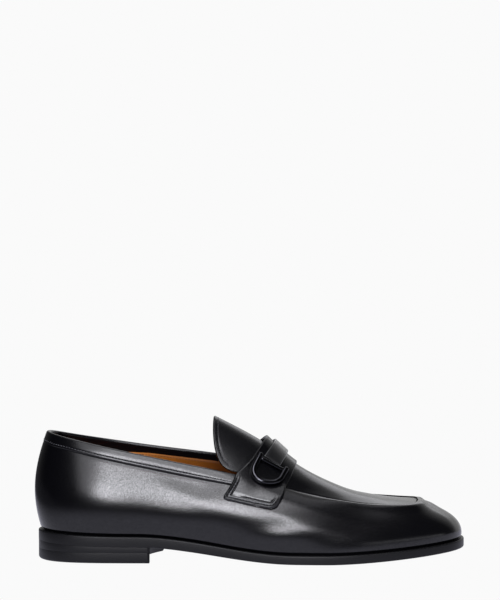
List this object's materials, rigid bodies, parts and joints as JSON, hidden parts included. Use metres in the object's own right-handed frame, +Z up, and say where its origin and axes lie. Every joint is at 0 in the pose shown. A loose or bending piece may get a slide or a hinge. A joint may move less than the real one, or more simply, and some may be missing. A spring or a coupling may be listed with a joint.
{
  "type": "buckle loafer",
  "caption": "Slip-on leather loafer, right shoe, with a saddle strap, keeper and D-rings over the instep, a raised plug seam, a standing tongue, a folded collar band and a low heel.",
  "frame": {"origin": "on the floor under the middle of the whole shoe's box", "axes": "+X from heel to toe, -Y to the outer (lateral) side, +Z up from the floor"},
  "size_m": [0.3038, 0.1024, 0.1009],
  "materials": {
    "black_calf": "polished smooth calf, soft gloss",
    "sole_leather": "dyed and waxed sole edge, satin",
    "heel_rubber": "moulded, matt",
    "sock_leather": "tan lining leather, matt",
    "black_metal": "black gloss plating"
  },
  "bodies": {
    "root": {"outsole": "sole_leather", "heel_lift": "sole_leather", "heel_top_piece": "heel_rubber", "insole": "sock_leather", "upper": "black_calf", "tongue": "black_calf", "saddle_strap": "black_calf", "keeper_strap": "black_calf", "ring_lateral": "black_metal", "ring_medial": "black_metal", "bar_lateral": "black_metal", "bar_medial": "black_metal"}
  },
  "joints": []
}
